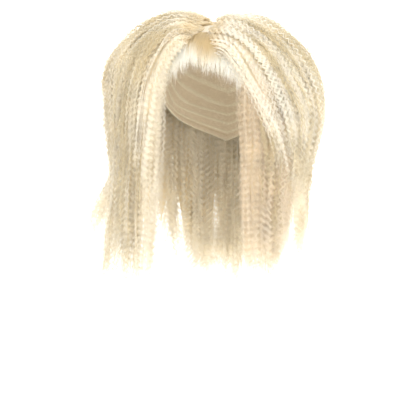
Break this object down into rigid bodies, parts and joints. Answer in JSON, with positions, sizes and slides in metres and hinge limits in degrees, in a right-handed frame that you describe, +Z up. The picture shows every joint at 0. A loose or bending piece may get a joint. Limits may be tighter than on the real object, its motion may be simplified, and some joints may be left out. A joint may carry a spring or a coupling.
{
  "type": "crimped wig",
  "caption": "Long crimped blonde wig with a centre parting and a short straight fringe, on a fitted cap that a head goes into.",
  "frame": {"origin": "centre of the head in the plane of the cap's size band, level with the brow and the tops of the ears", "axes": "+Z up, towards the crown; -Y the way the wearer faces; +X the wearer's left"},
  "size_m": [0.3446, 0.2535, 0.3934],
  "materials": {
    "cap_net": "matt stretch net with a folded hem",
    "pale_hair": "smooth silky fibre",
    "blonde_hair": "crimped synthetic fibre with a soft shine"
  },
  "bodies": {
    "root": {"wig_cap": "cap_net", "fringe": "pale_hair", "crown_left": "blonde_hair", "crown_right": "blonde_hair", "crown_back": "blonde_hair", "front_left": "blonde_hair", "front_right": "blonde_hair", "side_left": "blonde_hair", "side_right": "blonde_hair", "back_centre": "blonde_hair", "back_left": "blonde_hair", "back_right": "blonde_hair"}
  },
  "joints": []
}
